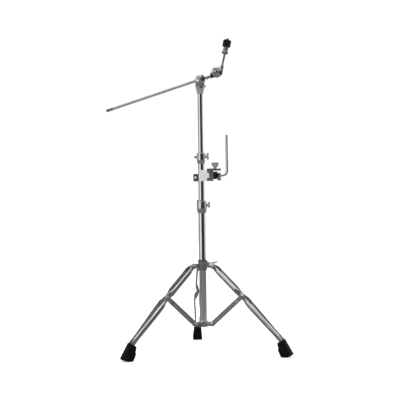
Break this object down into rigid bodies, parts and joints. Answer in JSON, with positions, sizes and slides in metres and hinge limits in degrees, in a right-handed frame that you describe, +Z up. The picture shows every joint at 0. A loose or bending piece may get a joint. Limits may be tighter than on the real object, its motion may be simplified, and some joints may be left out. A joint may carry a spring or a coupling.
{
  "type": "cymbal boom stand",
  "caption": "Telescoping chrome stand on a folding braced tripod, with a tilting boom arm for a cymbal and an L-shaped accessory rod on a clamp.",
  "frame": {"origin": "on the floor, on the axis of the mast", "axes": "+Z up the mast, +X towards the cymbal end of the boom, -Y the side the tilter wing handles face"},
  "size_m": [0.6573, 0.5483, 1.1395],
  "materials": {
    "chrome_tube": "polished chrome plate on round tube",
    "chrome_casting": "chrome plated zinc casting, slightly soft edges",
    "chrome_strip": "chrome plated pressed steel strip",
    "chrome_screw": "chrome plated screw and wing",
    "knurled_rod": "chrome plated rod with a fine knurl",
    "black_nylon": "black moulded nylon",
    "black_rubber": "moulded black rubber",
    "black_felt": "pressed black felt"
  },
  "bodies": {
    "base": {"base_tube": "chrome_tube", "lower_bracket": "chrome_strip", "bracket_rivets": "chrome_strip", "lower_clamp": "chrome_casting"},
    "lower_wing": {"lower_wing_screw": "chrome_screw"},
    "lower_bush": {"lower_bush": "black_nylon"},
    "middle": {"middle_tube": "chrome_tube", "upper_clamp": "chrome_casting"},
    "upper_wing": {"upper_wing_screw": "chrome_screw"},
    "upper_bush": {"upper_bush": "black_nylon"},
    "upper": {"upper_tube": "chrome_tube", "tilter_base": "chrome_casting", "tilter_screw": "chrome_screw"},
    "collar": {"tripod_collar": "chrome_casting", "collar_bush": "black_nylon"},
    "collar_wing": {"collar_wing_screw": "chrome_screw"},
    "tom_clamp": {"tom_clamp_body": "chrome_casting", "tom_clamp_jaw": "chrome_casting", "tom_hinge_pin": "chrome_screw", "tom_clamp_bolt": "chrome_screw", "tom_ball_cap": "chrome_casting"},
    "tom_wing": {"tom_wing_nut": "chrome_screw"},
    "ball_screw": {"tom_ball_screw": "chrome_screw"},
    "ball": {"tom_ball": "black_nylon"},
    "l_rod": {"l_rod": "chrome_tube"},
    "boom_drum": {"boom_drum": "chrome_casting", "tilt_bolt": "chrome_screw", "tilt_lock_nut": "chrome_screw"},
    "boom_wing": {"boom_wing_nut": "chrome_screw"},
    "boom": {"boom_rod": "knurled_rod", "boom_end_cap": "black_nylon", "boom_sleeve": "chrome_tube", "neck_bush": "black_nylon", "cymbal_tilter_base": "chrome_casting"},
    "cymbal_arm": {"cymbal_tilter_arm": "chrome_casting", "cymbal_rod": "knurled_rod", "rod_lock_nut": "chrome_screw", "cymbal_seat": "chrome_casting", "nylon_sleeve": "black_nylon", "lower_felt": "black_felt", "upper_felt": "black_felt"},
    "cymbal_wing": {"cymbal_wing_screw": "chrome_screw"},
    "top_nut": {"top_nut": "black_nylon"},
    "rear_leg": {"rear_leg_strip_a": "chrome_strip", "rear_leg_strip_b": "chrome_strip", "rear_leg_rivets": "chrome_strip", "rear_foot": "black_rubber"},
    "rear_brace": {"rear_brace": "chrome_strip"},
    "left_leg": {"left_leg_strip_a": "chrome_strip", "left_leg_strip_b": "chrome_strip", "left_leg_rivets": "chrome_strip", "left_foot": "black_rubber"},
    "left_brace": {"left_brace": "chrome_strip"},
    "right_leg": {"right_leg_strip_a": "chrome_strip", "right_leg_strip_b": "chrome_strip", "right_leg_rivets": "chrome_strip", "right_foot": "black_rubber"},
    "right_brace": {"right_brace": "chrome_strip"}
  },
  "joints": [
    {"name": "lower_wing_turn", "type": "hinge", "parent": "base", "child": "lower_wing", "pos_m": [0.0203, 0, 0.537], "axis": [1, 0, 0], "range_deg": [-90, 360]},
    {"name": "middle_swivel", "type": "hinge", "parent": "base", "child": "lower_bush", "pos_m": [0, 0, 0.54], "axis": [0, 0, 1], "range_deg": [-180, 180]},
    {"name": "middle_slide", "type": "slide", "parent": "lower_bush", "child": "middle", "axis": [0, 0, 1], "range_m": [-0.05, 0.13]},
    {"name": "upper_wing_turn", "type": "hinge", "parent": "middle", "child": "upper_wing", "pos_m": [0.0179, 0, 0.714], "axis": [1, 0, 0], "range_deg": [-90, 360]},
    {"name": "upper_swivel", "type": "hinge", "parent": "middle", "child": "upper_bush", "pos_m": [0, 0, 0.713], "axis": [0, 0, 1], "range_deg": [-180, 180]},
    {"name": "upper_slide", "type": "slide", "parent": "upper_bush", "child": "upper", "axis": [0, 0, 1], "range_m": [-0.12, 0.15]},
    {"name": "collar_slide", "type": "slide", "parent": "base", "child": "collar", "axis": [0, 0, 1], "range_m": [0, 0.10614]},
    {"name": "collar_wing_turn", "type": "hinge", "parent": "collar", "child": "collar_wing", "pos_m": [0.02007, 0.01369, 0.323], "axis": [0.8261, 0.5635, 0], "range_deg": [-90, 360]},
    {"name": "tom_clamp_swivel", "type": "hinge", "parent": "middle", "child": "tom_clamp", "pos_m": [0, 0, 0.644], "axis": [0, 0, 1], "range_deg": [-170, 170]},
    {"name": "tom_wing_turn", "type": "hinge", "parent": "tom_clamp", "child": "tom_wing", "pos_m": [-0.021, 0.0073, 0.637], "axis": [0, 1, 0], "range_deg": [-90, 360]},
    {"name": "ball_screw_turn", "type": "hinge", "parent": "tom_clamp", "child": "ball_screw", "pos_m": [0.051, 0, 0.6698], "axis": [0, 0, 1], "range_deg": [-90, 360]},
    {"name": "ball_tilt", "type": "hinge", "parent": "tom_clamp", "child": "ball", "pos_m": [0.051, 0, 0.644], "axis": [0, 1, 0], "range_deg": [-8, 8]},
    {"name": "l_rod_turn", "type": "hinge", "parent": "ball", "child": "l_rod", "pos_m": [0.051, 0, 0.644], "axis": [1, 0, 0], "range_deg": [-100, 100]},
    {"name": "boom_tilt", "type": "hinge", "parent": "upper", "child": "boom_drum", "pos_m": [0, -0.019, 0.9925], "axis": [0, -1, 0], "range_deg": [-60, 55]},
    {"name": "boom_wing_turn", "type": "hinge", "parent": "boom_drum", "child": "boom_wing", "pos_m": [0, -0.0293, 0.9925], "axis": [0, -1, 0], "range_deg": [-90, 360]},
    {"name": "boom_slide", "type": "slide", "parent": "boom_drum", "child": "boom", "axis": [0.9521, 0, 0.3057], "range_m": [0, 0.3]},
    {"name": "cymbal_tilt", "type": "hinge", "parent": "boom", "child": "cymbal_arm", "pos_m": [0.06137, -0.02625, 1.01955], "axis": [0, -1, 0], "range_deg": [-75, 90]},
    {"name": "cymbal_wing_turn", "type": "hinge", "parent": "boom", "child": "cymbal_wing", "pos_m": [0.06137, -0.0313, 1.01955], "axis": [0, -1, 0], "range_deg": [-90, 360]},
    {"name": "top_nut_turn", "type": "hinge", "parent": "cymbal_arm", "child": "top_nut", "pos_m": [0.10142, -0.02625, 1.12952], "axis": [0.2147, 0, 0.9767], "range_deg": [0, 720]},
    {"name": "rear_leg_hinge", "type": "hinge", "parent": "collar", "child": "rear_leg", "pos_m": [-0.0027, 0.0359, 0.316], "axis": [-0.9972, -0.075, 0], "range_deg": [0, 42]},
    {"name": "rear_knee_hinge", "type": "hinge", "parent": "rear_leg", "child": "rear_brace", "pos_m": [-0.0117, 0.15556, 0.21], "axis": [-0.9972, -0.075, 0], "range_deg": [-84, 0]},
    {"name": "left_leg_hinge", "type": "hinge", "parent": "collar", "child": "left_leg", "pos_m": [-0.02974, -0.02029, 0.316], "axis": [0.5635, -0.8261, 0], "range_deg": [0, 42]},
    {"name": "left_knee_hinge", "type": "hinge", "parent": "left_leg", "child": "left_brace", "pos_m": [-0.12887, -0.08791, 0.21], "axis": [0.5635, -0.8261, 0], "range_deg": [-84, 0]},
    {"name": "right_leg_hinge", "type": "hinge", "parent": "collar", "child": "right_leg", "pos_m": [0.03244, -0.01561, 0.316], "axis": [0.4337, 0.9011, 0], "range_deg": [0, 42]},
    {"name": "right_knee_hinge", "type": "hinge", "parent": "right_leg", "child": "right_brace", "pos_m": [0.14057, -0.06765, 0.21], "axis": [0.4337, 0.9011, 0], "range_deg": [-84, 0]}
  ],
  "couplings": [
    {"joint": "rear_leg_hinge", "follows": "collar_slide", "rad_per_m": 6.9065},
    {"joint": "rear_knee_hinge", "follows": "collar_slide", "rad_per_m": -13.813},
    {"joint": "left_leg_hinge", "follows": "collar_slide", "rad_per_m": 6.9065},
    {"joint": "left_knee_hinge", "follows": "collar_slide", "rad_per_m": -13.813},
    {"joint": "right_leg_hinge", "follows": "collar_slide", "rad_per_m": 6.9065},
    {"joint": "right_knee_hinge", "follows": "collar_slide", "rad_per_m": -13.813}
  ]
}
